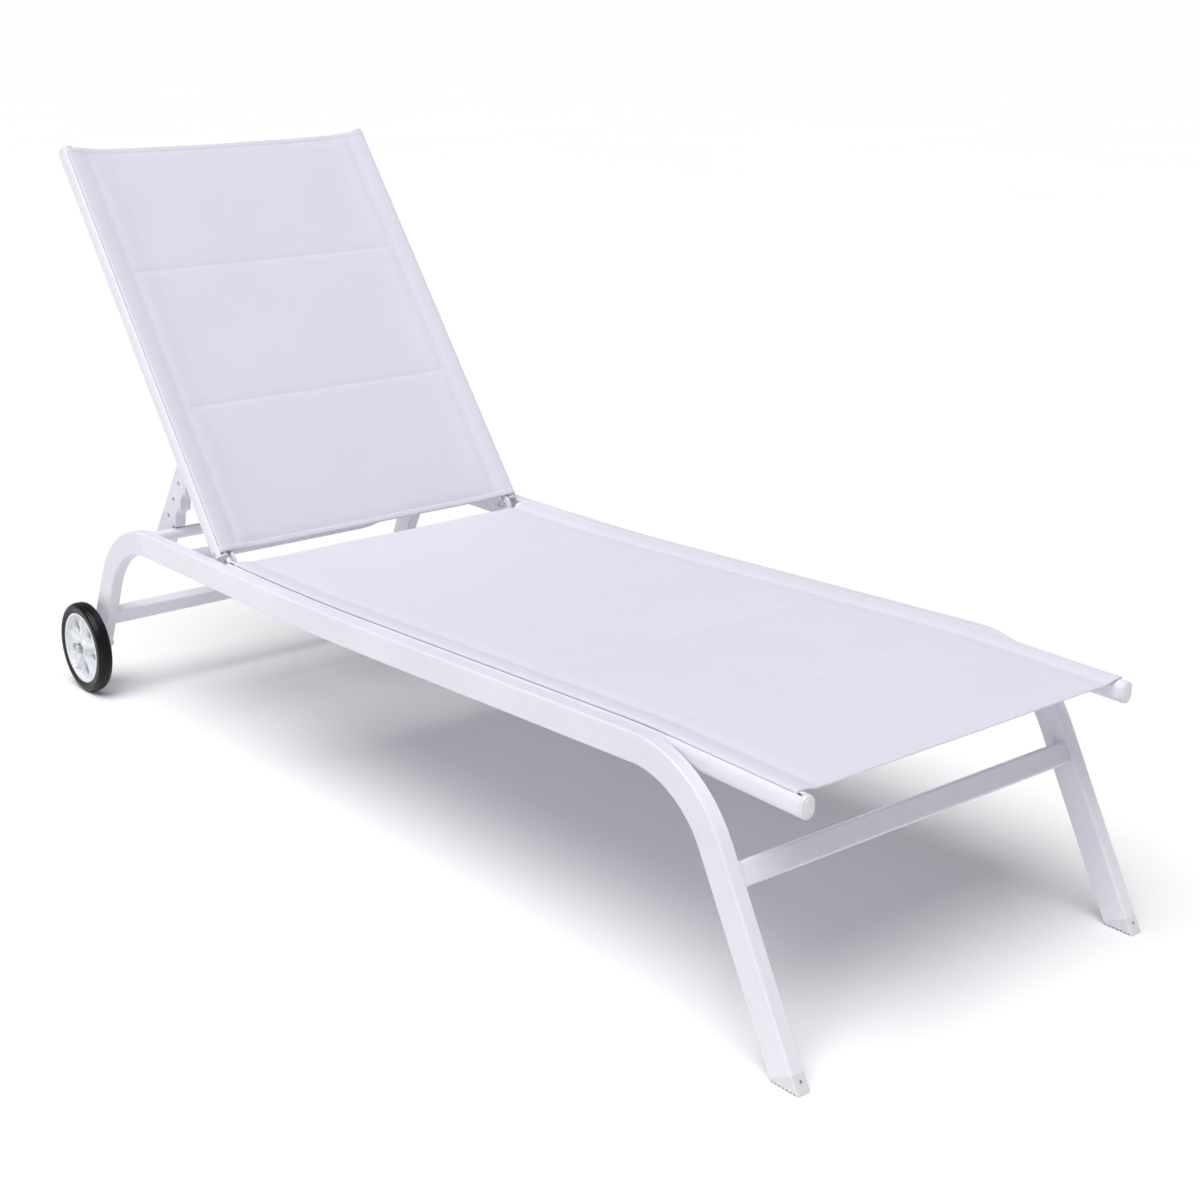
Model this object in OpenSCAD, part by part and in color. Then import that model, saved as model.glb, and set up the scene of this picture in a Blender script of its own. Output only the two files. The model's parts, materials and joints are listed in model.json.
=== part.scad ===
// Reclining sun lounger: bent tube side frames, sling seat, sling backrest on a notched stay, two wheels.
// Frame: +X toward the foot end, +Y to the left of a person lying on it, +Z up, floor at Z = 0.
// Lengths in millimetres, angles in degrees. Drawn with the backrest raised to its top notch.

/* [Side frames] */
// Width over the two side frames
frame_w = 600; // [560:5:660]
// Depth of the frame tube in the plane of the side frame
tube_h = 38; // [34:1:42]
// Thickness of the frame tube across the lounger
tube_t = 20; // [18:1:22]
// Wall of the frame tube
tube_wall = 1.6; // [1.2:0.1:2.4]
// Height of the centre line of the level part of the rail
rail_z = 286; // [270:1:320]
// Slope of the rail toward the foot end
rail_slope = 2.2; // [1.5:0.1:3]
// Lean of the front leg from vertical
front_lean = 27.5; // [24:0.5:31]
// Lean of the rear leg from vertical
rear_lean = 25; // [22:0.5:28]
// Centre line radius of the front bend
front_bend_r = 144; // [120:2:170]
// Centre line radius of the rear bend
rear_bend_r = 156; // [130:2:170]
// Distance from the backrest hinge to the front leg centre line at the floor
front_reach = 1242; // [1180:2:1300]

/* [Crossbars] */
// Depth of the two leg crossbars along the leg
bar_h = 28; // [22:1:34]
// Thickness of the two leg crossbars
bar_t = 18; // [14:1:20]
// Height of the front crossbar centre
front_bar_z = 205; // [170:1:220]
// Height of the rear crossbar centre
rear_bar_z = 124; // [110:1:150]
// Diameter of the catch bar the notches rest on
catch_d = 18; // [16:0.5:20]

/* [Slings and rails] */
// Width of the oval sling rails
rail_w = 20; // [18:1:22]
// Height of the oval sling rails
rail_h = 28; // [26:1:32]
// Gap between a sling rail and the side frame
side_gap = 1; // [0.6:0.1:2]
// Height of the seat rail centre line where it is level
seat_z = 292; // [286:1:300]
// Distance from the hinge to the front end of the seat rails
seat_reach = 1236; // [1180:2:1280]
// Thickness of the padded slings
sling_t = 6; // [5:0.5:8]

/* [Backrest] */
// Height of the backrest hinge above the floor
hinge_h = 310; // [306:1:320]
// Length of the backrest rails past the hinge
back_len = 712; // [660:2:740]
// Backrest angle above horizontal in the drawn position
back_angle = 52.7; // [51:0.1:54]

/* [Wheels] */
// Outside diameter of the tyre
tyre_d = 150; // [144:2:160]
// Width of the tyre
tyre_w = 24; // [20:1:28]
// Outside diameter of the wheel disc inside the tyre
rim_d = 119; // [112:1:126]
// Distance of the wheel centre behind the hinge
wheel_back = 378; // [368:1:386]
// Diameter of the stub axle
axle_d = 10; // [8:1:12]

/* [Hidden] */
$fn = 64;
eps = 0.01;
hair = 0.1;
run_on = 1;
fit = 0.05;
white = [0.91, 0.91, 0.94];
cloth = [0.86, 0.86, 0.92];
black = [0.08, 0.08, 0.09];
steel = [0.66, 0.67, 0.7];
face_y = frame_w / 2;
inner_y = face_y - tube_t;
tube_y = face_y - tube_t / 2;
railc_y = inner_y - side_gap - rail_w / 2;
rail_in_y = railc_y - rail_w / 2;
tube_round = 3;

// side frame centre line, x measured from the hinge
flat_end = 120;
sweep_r = 7800;
rear_turn = 90 - rear_lean;
rear_bend_x = -191;
rear_end_x = rear_bend_x - rear_bend_r * sin(rear_turn);
rear_end_z = rail_z - rear_bend_r * (1 - cos(rear_turn));
sweep_x = flat_end + sweep_r * sin(rail_slope);
sweep_z = rail_z + sweep_r * (1 - cos(rail_slope));
front_turn = 90 - front_lean + rail_slope;
corner_z = (sweep_z + (front_reach - sweep_x) * tan(rail_slope)) / (1 + tan(front_lean) * tan(rail_slope));
corner_x = front_reach - corner_z * tan(front_lean);
front_tan = front_bend_r * tan(front_turn / 2);
bend_x = corner_x - front_tan * cos(rail_slope);
bend_z = corner_z - front_tan * sin(rail_slope);
straight_len = (bend_x - sweep_x) / cos(rail_slope);
front_end_x = corner_x + front_tan * sin(front_lean);
front_end_z = corner_z - front_tan * cos(front_lean);
foot_rise = 3;
leg_end_z = foot_rise + tube_h / 2 * sin(front_lean);
front_leg_len = (front_end_z - leg_end_z) / cos(front_lean);
leg_end_x = front_reach - leg_end_z * tan(front_lean);
wheel_z = tyre_d / 2;
rear_stop_z = wheel_z - 34;
rear_leg_len = (rear_end_z - rear_stop_z) / cos(rear_lean);
rear_stop_x = rear_end_x - rear_leg_len * sin(rear_lean);
foot_tip_x = front_reach + tube_h / 2 / cos(front_lean);
mid_x = (foot_tip_x - wheel_back - wheel_z) / 2;

// seat rail centre line
seat_start = 34;
seat_lift = seat_z - rail_z;
crest_r = 1200;
crest_x = 955;
crest_turn = 3.2;
seat_mid_len = (crest_x - sweep_x) / cos(rail_slope);
crest_z = sweep_z + seat_lift + (crest_x - sweep_x) * tan(rail_slope);
nose_x = crest_x + crest_r * (sin(rail_slope) + sin(crest_turn - rail_slope));
nose_z = crest_z + crest_r * (cos(crest_turn - rail_slope) - cos(rail_slope));
nose_drop = crest_turn - rail_slope;
nose_len = (seat_reach - nose_x) / cos(nose_drop);
spreader_x = 620;
spreader_z = 280.5;
cap_t = 5;
sling_up = rail_h / 2 + 0.3 + sling_t / 2;

// wheels
wheel_y = face_y + 11 + tyre_w / 2;
hub_w = 22;
hub_d = 28;
rim_wall = 4.5;
web_t = 5;
rib_h = 15;
window_r = 38;
window_d = 20;
nut_t = 5;
axle_head_t = 2.5;

// backrest, drawn along its own length from the hinge
hinge_d = 8;
back_start = -8;
back_plug_t = 2;
groove_d = 7;
slot_w = 3;
groove_lip = 1.5;
groove_turn = 23.6;
spread_s = 600;

// notched stay, drawn along its own length from its pivot
stay_s = 225;
stay_off = 20;
stay_lean = 34;
stay_in = 222;
stay_t = 18;
stay_y = stay_in + stay_t / 2;
stay_pin_d = 10;
lug_t = 5;
head_r = 12;
body_rear = 17;
body_floor = 52;
tooth_tip = 59;
pitch = 36;
seat_at = 169;
stay_len = 226;
stay_bar_d = 22;
stay_bar_l = 287;
stay_bar_n = 30;
stay_bend_r = 72;
catch_x = -202;
catch_z = 293;
pivot_x = -stay_s * cos(back_angle) - stay_off * sin(back_angle);
pivot_z = hinge_h + stay_s * sin(back_angle) - stay_off * cos(back_angle);

// two dimensional sections
module soft_rect(w, h, r) {
  square([w - 2 * r, h], center = true);
  square([w, h - 2 * r], center = true);
  for (sx = [-1, 1])
    for (sy = [-1, 1])
      translate([sx * (w / 2 - r), sy * (h / 2 - r)])
        circle(r = r);
}

module oval(w, h) {
  square([w, h - w], center = true);
  for (s = [-1, 1])
    translate([0, s * (h - w) / 2])
      circle(d = w);
}

// everything about the groove is drawn upright and turned here, outward from the top of the rail
module at_groove() {
  translate([0, (rail_h - rail_w) / 2])
    rotate([0, 0, -groove_turn])
      children();
}

module groove_round(d) {
  at_groove()
    translate([0, rail_w / 2 - groove_lip - groove_d / 2])
      circle(d = d);
}

module groove_slot(w) {
  at_groove()
    translate([0, rail_w / 2])
      square([w, 6], center = true);
}

// sling rail section, wall thinner by t all over
module rail_section(t = 0) {
  difference() {
    oval(rail_w - 2 * t, rail_h - 2 * t);
    difference() {
      oval(rail_w - 4 + 2 * t, rail_h - 4 + 2 * t);
      groove_round(groove_d + 3 - 2 * t);
      groove_slot(slot_w + 3 - 2 * t);
    }
    groove_round(groove_d + 2 * t);
    groove_slot(slot_w + 2 * t);
  }
}

// runs a section drawn in X (across) and Y (up) along +X of the part for a length
module run(len) {
  rotate([90, 0, 90])
    linear_extrude(height = len)
      children();
}

// bends a section downward while moving along +X: radius r, angle a, starts level
// a bend is drawn a hair slimmer than its straight runs and runs on into them
module dive(r, a) {
  more = run_on / r * 180 / PI;
  translate([0, 0, -r])
    rotate([-90, 0, 0])
      rotate([0, 0, -90 - more])
        rotate_extrude(angle = a + 2 * more, $fn = 180)
          translate([r, 0])
            rotate([0, 0, -90])
              mirror([1, 0])
                children();
}

// bends a section upward while moving along +X
module climb(r, a) {
  more = run_on / r * 180 / PI;
  translate([0, 0, r])
    rotate([90, 0, 0])
      rotate([0, 0, -90 - more])
        rotate_extrude(angle = a + 2 * more, $fn = 720)
          translate([r, 0])
            rotate([0, 0, 90])
              mirror([1, 0])
                children();
}

module left_right(s) {
  mirror([0, s < 0 ? 1 : 0, 0])
    children();
}

// everything below is written from the hinge and moved to the middle of the lounger here
module place() {
  translate([-mid_x, 0, 0])
    children();
}

// side frame path with a section that is symmetric about both axes
module frame_run(w, h, r, over) {
  translate([rear_bend_x, 0, rail_z])
    run(flat_end - rear_bend_x)
      soft_rect(w, h, r);
  translate([flat_end, 0, rail_z])
    climb(sweep_r, rail_slope)
      soft_rect(w - 2 * hair, h - 2 * hair, r);
  translate([sweep_x, 0, sweep_z])
    rotate([0, -rail_slope, 0])
      run(straight_len)
        soft_rect(w, h, r);
  translate([bend_x, 0, bend_z])
    rotate([0, -rail_slope, 0])
      dive(front_bend_r, front_turn)
        soft_rect(w - 2 * hair, h - 2 * hair, r);
  translate([front_end_x, 0, front_end_z])
    rotate([0, 90 - front_lean, 0])
      run(front_leg_len + over)
        soft_rect(w, h, r);
  translate([rear_bend_x, 0, rail_z])
    mirror([1, 0, 0])
      dive(rear_bend_r, rear_turn)
        soft_rect(w - 2 * hair, h - 2 * hair, r);
  translate([rear_end_x, 0, rear_end_z])
    mirror([1, 0, 0])
      rotate([0, rear_turn, 0])
        run(rear_leg_len + over)
          soft_rect(w, h, r);
}

module side_frame(s) {
  color(white)
    place()
      left_right(s)
        difference() {
          translate([0, tube_y, 0])
            frame_run(tube_t, tube_h, tube_round, 0);
          translate([0, tube_y, 0])
            frame_run(tube_t - 2 * tube_wall, tube_h - 2 * tube_wall, 1.4, 1);
          translate([-wheel_back, tube_y, wheel_z])
            rotate([90, 0, 0])
              cylinder(d = axle_d + 2 * fit, h = tube_t + 4, center = true);
        }
}

module side_frame_left() {
  side_frame(1);
}

module side_frame_right() {
  side_frame(-1);
}

// leg crossbars, turned to lie along their legs
module leg_bar(lean) {
  rotate([0, lean, 0])
    rotate([90, 0, 0])
      linear_extrude(height = 2 * inner_y, center = true)
        difference() {
          soft_rect(bar_t, bar_h, 3);
          soft_rect(bar_t - 3.2, bar_h - 3.2, 1.5);
        }
}

module front_crossbar() {
  color(white)
    place()
      translate([front_reach - front_bar_z * tan(front_lean) + 4, 0, front_bar_z])
        leg_bar(-front_lean);
}

module rear_crossbar() {
  color(white)
    place()
      translate([rear_end_x - (rear_end_z - rear_bar_z) * tan(rear_lean), 0, rear_bar_z])
        leg_bar(rear_lean);
}

module catch_bar() {
  color(white)
    place()
      translate([catch_x, 0, catch_z])
        rotate([90, 0, 0])
          difference() {
            cylinder(d = catch_d, h = 2 * inner_y, center = true);
            cylinder(d = catch_d - 3, h = 2 * inner_y + 2, center = true);
          }
}

module seat_spreader() {
  color(white)
    place()
      translate([spreader_x, 0, spreader_z])
        rotate([90, 0, 0])
          linear_extrude(height = 2 * inner_y, center = true)
            difference() {
              oval(16, 20);
              oval(13, 17);
            }
}

// seat rails: first child is the section of the runs, second the slimmer one of the bends
module seat_run(start, stop) {
  translate([start, 0, seat_z])
    run(flat_end - start)
      children(0);
  translate([flat_end, 0, seat_z])
    climb(sweep_r, rail_slope)
      children(1);
  translate([sweep_x, 0, sweep_z + seat_lift])
    rotate([0, -rail_slope, 0])
      run(seat_mid_len)
        children(0);
  translate([crest_x, 0, crest_z])
    rotate([0, -rail_slope, 0])
      dive(crest_r, crest_turn)
        children(1);
  translate([nose_x, 0, nose_z])
    rotate([0, nose_drop, 0])
      run(nose_len - stop)
        children(0);
}

module seat_rail(s) {
  color(white)
    place()
      left_right(s)
        translate([0, railc_y, 0])
          seat_run(seat_start, cap_t) {
            rail_section();
            rail_section(hair);
          }
}

module seat_rail_left() {
  seat_rail(1);
}

module seat_rail_right() {
  seat_rail(-1);
}

// a cap is an oval head with a low raised face and a stem in the rail
module cap() {
  rotate([90, 0, 90]) {
    linear_extrude(height = cap_t)
      oval(rail_w, rail_h);
    translate([0, 0, cap_t - eps])
      linear_extrude(height = 1.5)
        oval(rail_w - 5, rail_h - 5);
    translate([0, 1 - rail_h / 4, -8])
      cylinder(d = 6, h = 8 + eps);
  }
}

module seat_cap(s) {
  color(white)
    place()
      left_right(s)
        translate([seat_reach, railc_y, nose_z - (seat_reach - nose_x) * tan(nose_drop)])
          rotate([0, nose_drop, 0])
            translate([-cap_t, 0, 0])
              cap();
}

module seat_cap_left() {
  seat_cap(1);
}

module seat_cap_right() {
  seat_cap(-1);
}

module seat_end_plugs() {
  color(white)
    place()
      for (s = [-1, 1])
        left_right(s)
          translate([seat_start, railc_y, seat_z])
            rotate([90, 0, 90])
              translate([0, 0, -2])
                linear_extrude(height = 2)
                  oval(rail_w, rail_h);
}

// sling edge cords lie in the rail grooves and stick out a little at the front
module cord_section(d) {
  groove_round(d, $fn = 24);
}

module seat_splines() {
  color(cloth)
    place()
      for (s = [-1, 1])
        left_right(s)
          translate([0, railc_y, 0])
            seat_run(seat_start + 12, 14) {
              cord_section(groove_d - 1);
              cord_section(groove_d - 1 - 2 * hair);
            }
}

sling_half = railc_y + 3;
seat_cloth_x0 = 48;
seat_cloth_x1 = 1219;

module seat_sling() {
  color(cloth)
    place()
      rotate([90, 0, 0])
        linear_extrude(height = 2 * sling_half, center = true)
          polygon([
            [seat_cloth_x0, seat_z + sling_up - sling_t / 2],
            [flat_end, seat_z + sling_up - sling_t / 2],
            [sweep_x, sweep_z + seat_lift + sling_up - sling_t / 2],
            [crest_x, crest_z + sling_up - sling_t / 2],
            [nose_x, nose_z + sling_up - sling_t / 2],
            [seat_cloth_x1, nose_z + sling_up - sling_t / 2 - 3],
            [seat_cloth_x1, nose_z + sling_up + sling_t / 2 - 3],
            [nose_x, nose_z + sling_up + sling_t / 2],
            [crest_x, crest_z + sling_up + sling_t / 2],
            [sweep_x, sweep_z + seat_lift + sling_up + sling_t / 2],
            [flat_end, seat_z + sling_up + sling_t / 2],
            [seat_cloth_x0, seat_z + sling_up + sling_t / 2]
          ]);
}

// backrest frame: local +X runs up the backrest, local +Z is its sitting side
module lean_back() {
  place()
    translate([0, 0, hinge_h])
      mirror([1, 0, 0])
        rotate([0, -back_angle, 0])
          children();
}

// the lower end of the rail is closed by a thin plate and turns on the hinge pin
module back_rail(s) {
  color(white)
    lean_back()
      left_right(s)
        difference() {
          translate([0, railc_y, 0]) {
            translate([back_start + back_plug_t, 0, 0])
              run(back_len - cap_t - back_start - back_plug_t)
                rail_section();
            translate([back_start, 0, 0])
              run(back_plug_t)
                oval(rail_w, rail_h);
          }
          translate([0, railc_y, 0])
            rotate([90, 0, 0])
              cylinder(d = hinge_d + 2 * fit, h = rail_w + 2, center = true);
        }
}

module back_rail_left() {
  back_rail(1);
}

module back_rail_right() {
  back_rail(-1);
}

module back_cap(s) {
  color(white)
    lean_back()
      left_right(s)
        translate([back_len - cap_t, railc_y, 0])
          cap();
}

module back_cap_left() {
  back_cap(1);
}

module back_cap_right() {
  back_cap(-1);
}

module back_spreader() {
  color(white)
    lean_back()
      translate([spread_s, 0, -rail_h / 2 + 4])
        rotate([90, 0, 0])
          linear_extrude(height = 2 * rail_in_y, center = true)
            rotate([0, 0, 90])
              difference() {
                oval(14, 22);
                oval(11, 19);
              }
}

module back_splines() {
  color(cloth)
    lean_back()
      for (s = [-1, 1])
        left_right(s)
          translate([40, railc_y, 0])
            run(back_len - 60)
              cord_section(groove_d - 1);
}

back_cloth_x0 = 12;
back_cloth_x1 = 704;

module back_sling() {
  color(cloth)
    lean_back()
      translate([(back_cloth_x0 + back_cloth_x1) / 2, 0, sling_up])
        cube([back_cloth_x1 - back_cloth_x0, 2 * sling_half, sling_t], center = true);
}

// hinge: a plate screwed to the inner face of the seat rail carries the pin
plate_t = 4;
pin_head_d = 11;
pin_head_t = 2.5;

module hinge_plate(s) {
  color(white)
    place()
      left_right(s)
        translate([0, rail_in_y - 0.4, 0])
          rotate([90, 0, 0])
            linear_extrude(height = plate_t)
              difference() {
                union() {
                  translate([0, hinge_h])
                    circle(r = 9);
                  polygon([
                    [-6, hinge_h - 6.5],
                    [10, hinge_h - 24],
                    [64, hinge_h - 24],
                    [64, hinge_h - 18],
                    [24, hinge_h - 16],
                    [6, hinge_h + 6.5]
                  ]);
                }
                translate([0, hinge_h])
                  circle(d = hinge_d);
              }
}

module hinge_plate_left() {
  hinge_plate(1);
}

module hinge_plate_right() {
  hinge_plate(-1);
}

module hinge_pin(s) {
  color(steel)
    place()
      left_right(s)
        translate([0, 0, hinge_h])
          rotate([-90, 0, 0]) {
            translate([0, 0, rail_in_y - 0.4 - plate_t])
              cylinder(d = hinge_d, h = rail_w + plate_t + 0.8);
            translate([0, 0, rail_in_y - 0.4 - plate_t - pin_head_t])
              cylinder(d = pin_head_d, h = pin_head_t);
          }
}

module hinge_pin_left() {
  hinge_pin(1);
}

module hinge_pin_right() {
  hinge_pin(-1);
}

// lug on the backrest rail that carries the stay pivot
module stay_lug(s) {
  color(white)
    lean_back()
      left_right(s)
        translate([stay_s, rail_in_y - lug_t, -stay_off])
          rotate([-90, 0, 0])
            difference() {
              union() {
                cylinder(r = 11, h = lug_t);
                translate([-10, -stay_off + 1, 0])
                  cube([20, stay_off - 1, lug_t]);
              }
              translate([0, 0, -1])
                cylinder(d = stay_pin_d, h = lug_t + 2);
            }
}

module stay_lug_left() {
  stay_lug(1);
}

module stay_lug_right() {
  stay_lug(-1);
}

module stay_pin(s) {
  color(steel)
    lean_back()
      left_right(s)
        translate([stay_s, 0, -stay_off])
          rotate([-90, 0, 0]) {
            translate([0, 0, stay_in - 5])
              cylinder(d = stay_pin_d, h = rail_in_y - stay_in + 5);
            translate([0, 0, stay_in - 5])
              cylinder(d = 16, h = 4.5);
            translate([0, 0, stay_in + stay_t + 0.5])
              cylinder(d = 16, h = rail_in_y - lug_t - stay_in - stay_t - 0.5);
          }
}

module stay_pin_left() {
  stay_pin(1);
}

module stay_pin_right() {
  stay_pin(-1);
}

// stay frame: local +X runs down the stay from its pivot, local +Z is its notched side
module stay_frame() {
  place()
    translate([pivot_x, 0, pivot_z])
      rotate([0, 90 + stay_lean, 0])
        children();
}

// notched strut outline: X down the stay, Y toward the notched side
module strut_outline() {
  difference() {
    union() {
      circle(r = head_r);
      polygon([
        [-6, -10.4],
        [10, -9],
        [62, body_rear],
        [stay_len, body_rear],
        [stay_len, body_floor],
        [seat_at - 4 * pitch + 26, body_floor],
        [-8, 9]
      ]);
      for (i = [0:3])
        polygon([
          [seat_at - i * pitch, body_floor - 2],
          [seat_at - i * pitch, tooth_tip],
          [seat_at - i * pitch - 4, tooth_tip],
          [seat_at - i * pitch - 24, body_floor - 2]
        ]);
    }
    circle(d = stay_pin_d + 2 * fit);
    for (i = [0:4])
      translate([seat_at - 2 - i * pitch + (i == 4 ? 8 : 0), body_rear + 17 - (i == 4 ? 9 : 0)])
        circle(d = 8);
  }
}

module notched_strut(s) {
  color(white)
    stay_frame()
      left_right(s)
        translate([0, stay_in + stay_t, 0])
          rotate([90, 0, 0])
            linear_extrude(height = stay_t)
              strut_outline();
}

module notched_strut_left() {
  notched_strut(1);
}

module notched_strut_right() {
  notched_strut(-1);
}

// round bar that joins the two struts, with a large bend at each side, cut square at the strut ends
module stay_bar() {
  color(white)
    stay_frame()
      difference() {
        translate([0, 0, stay_bar_n]) {
          translate([stay_bar_l, 0, 0])
            rotate([90, 0, 0])
              cylinder(d = stay_bar_d, h = 2 * (stay_y - stay_bend_r), center = true);
          for (s = [0, 1])
            mirror([0, s, 0])
              translate([stay_bar_l - stay_bend_r, stay_y - stay_bend_r, 0])
                rotate_extrude(angle = 90, $fn = 96)
                  translate([stay_bend_r, 0])
                    circle(d = stay_bar_d, $fn = 48);
        }
        translate([stay_len - 100, -frame_w / 2, -50])
          cube([100, frame_w, 150]);
      }
}

// feet: a wedge under the square cut tube with a grooved sole and a stem in the tube
module foot(s) {
  color(white)
    place()
      left_right(s)
        difference() {
          union() {
            intersection() {
              translate([leg_end_x, tube_y, leg_end_z])
                rotate([0, 90 - front_lean, 0])
                  run(60)
                    soft_rect(tube_t, tube_h, tube_round);
              translate([leg_end_x - 60, 0, 0])
                cube([160, frame_w, 60]);
            }
            translate([leg_end_x, tube_y, leg_end_z])
              rotate([0, 90 - front_lean, 0])
                translate([-28, 0, 0])
                  run(28 + eps)
                    soft_rect(tube_t - 2 * tube_wall - 0.1, tube_h - 2 * tube_wall - 0.1, 1.3);
          }
          for (i = [0:6])
            translate([front_reach - 18 + i * 5.8, tube_y, 0])
              rotate([90, 0, 0])
                cylinder(d = 4.2, h = tube_t + 2, center = true);
        }
}

module foot_left() {
  foot(1);
}

module foot_right() {
  foot(-1);
}

module leg_plugs() {
  color(white)
    place()
      for (s = [-1, 1])
        left_right(s)
          translate([rear_stop_x, tube_y, rear_stop_z])
            mirror([1, 0, 0])
              rotate([0, rear_turn, 0]) {
                run(3)
                  soft_rect(tube_t, tube_h, tube_round);
                translate([-10, 0, 0])
                  run(10 + eps)
                    soft_rect(tube_t - 2 * tube_wall - 0.1, tube_h - 2 * tube_wall - 0.1, 1.3);
              }
}

// axles and wheels
module wheel_spot(s) {
  place()
    left_right(s)
      translate([-wheel_back, 0, wheel_z])
        rotate([-90, 0, 0])
          children();
}

module axle(s) {
  color(steel)
    wheel_spot(s) {
      translate([0, 0, inner_y - axle_head_t])
        cylinder(d = axle_d, h = wheel_y + hub_w / 2 + nut_t + 1 - inner_y + axle_head_t);
      translate([0, 0, inner_y - axle_head_t])
        cylinder(d = 14, h = axle_head_t);
    }
}

module axle_left() {
  axle(1);
}

module axle_right() {
  axle(-1);
}

module axle_spacers() {
  color(steel)
    for (s = [-1, 1])
      wheel_spot(s)
        translate([0, 0, face_y])
          difference() {
            cylinder(d = 20, h = wheel_y - hub_w / 2 - face_y - 0.4);
            translate([0, 0, -1])
              cylinder(d = axle_d, h = 40);
          }
}

// wheel disc: hub, thin web, rim ring, five ribs that taper outward, a window between each two ribs
module wheel_disc(s) {
  color(white)
    wheel_spot(s)
      translate([0, 0, wheel_y])
        difference() {
          union() {
            cylinder(d = hub_d, h = hub_w, center = true);
            cylinder(d = rim_d - 2, h = web_t, center = true);
            difference() {
              cylinder(d = rim_d, h = hub_w, center = true);
              cylinder(d = rim_d - 2 * rim_wall, h = hub_w + 2, center = true);
            }
            for (i = [0:4])
              rotate([0, 0, 72 * i + 18])
                linear_extrude(height = rib_h, center = true)
                  polygon([
                    [8, 6],
                    [rim_d / 2 - 3, 3],
                    [rim_d / 2 - 3, -3],
                    [8, -6]
                  ]);
          }
          cylinder(d = axle_d + 2 * fit, h = hub_w + 2, center = true);
          for (i = [0:4])
            rotate([0, 0, 72 * i + 54])
              translate([window_r, 0, 0])
                cylinder(d = window_d, h = hub_w + 2, center = true);
          rotate_extrude()
            translate([rim_d / 2 + 1.2, 0])
              circle(r = 4);
        }
}

module wheel_disc_left() {
  wheel_disc(1);
}

module wheel_disc_right() {
  wheel_disc(-1);
}

// tyre: a bead in the rim's groove, rounded shoulders, two shallow grooves round the tread
tyre_in = rim_d / 2 + 0.5;
tyre_out = tyre_d / 2;
shoulder_r = 5.5;

module tyre(s) {
  color(black)
    wheel_spot(s)
      translate([0, 0, wheel_y])
        rotate_extrude($fn = 96)
          difference() {
            union() {
              translate([rim_d / 2 + 0.02, 1 - tyre_w / 2])
                square([8, tyre_w - 2]);
              translate([(tyre_in + tyre_out - 1) / 2, 0])
                soft_rect(tyre_out - 1 - tyre_in, tyre_w, shoulder_r);
              translate([(tyre_in + tyre_out) / 2, 0])
                soft_rect(tyre_out - tyre_in, tyre_w - 7, shoulder_r - 0.5);
              translate([rim_d / 2 + 1.2, 0])
                circle(r = 3.9);
            }
            for (s2 = [-1, 1])
              translate([tyre_out, s2 * 3.5])
                circle(d = 1.6, $fn = 24);
          }
}

module tyre_left() {
  tyre(1);
}

module tyre_right() {
  tyre(-1);
}

module hub_nut(s) {
  color(steel)
    wheel_spot(s)
      translate([0, 0, wheel_y + hub_w / 2 + 0.4])
        difference() {
          union() {
            cylinder(d = 20, h = 1.6);
            cylinder(d = 16, h = nut_t, $fn = 6);
          }
          translate([0, 0, -1])
            cylinder(d = axle_d, h = nut_t + 4);
        }
}

module hub_nut_left() {
  hub_nut(1);
}

module hub_nut_right() {
  hub_nut(-1);
}

// screws that hold the seat rails and hinge plates, heads on the inner side
module rail_screws() {
  color(steel)
    place()
      for (s = [-1, 1])
        left_right(s)
          for (p = [[52, seat_z - 4], [300, seat_z - 3.9], [560, 299.3], [900, 312.3]])
            translate([p[0], rail_in_y - (p[0] < 100 ? 0.4 + plate_t : 0) - 2.5, p[1]])
              rotate([-90, 0, 0])
                cylinder(d = 8, h = 2.5);
}

module foot_screws() {
  color(steel)
    place()
      for (s = [-1, 1])
        left_right(s)
          translate([leg_end_x, tube_y, leg_end_z])
            rotate([0, 90 - front_lean, 0])
              translate([9, 0, tube_h / 2])
                cylinder(d = 3.2, h = 0.8);
}

side_frame_left();
side_frame_right();
front_crossbar();
rear_crossbar();
catch_bar();
seat_spreader();
seat_rail_left();
seat_rail_right();
seat_cap_left();
seat_cap_right();
seat_end_plugs();
seat_splines();
seat_sling();
back_rail_left();
back_rail_right();
back_cap_left();
back_cap_right();
back_spreader();
back_splines();
back_sling();
hinge_plate_left();
hinge_plate_right();
hinge_pin_left();
hinge_pin_right();
stay_lug_left();
stay_lug_right();
stay_pin_left();
stay_pin_right();
notched_strut_left();
notched_strut_right();
stay_bar();
foot_left();
foot_right();
leg_plugs();
axle_left();
axle_right();
axle_spacers();
wheel_disc_left();
wheel_disc_right();
tyre_left();
tyre_right();
hub_nut_left();
hub_nut_right();
rail_screws();
foot_screws();
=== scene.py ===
"""Looks for the reclining sun lounger: materials, quilted slings, wheels, welds, light and camera."""
import json
import math
import bmesh
import bpy
import numpy as np
from mathutils import Matrix, Vector


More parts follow.
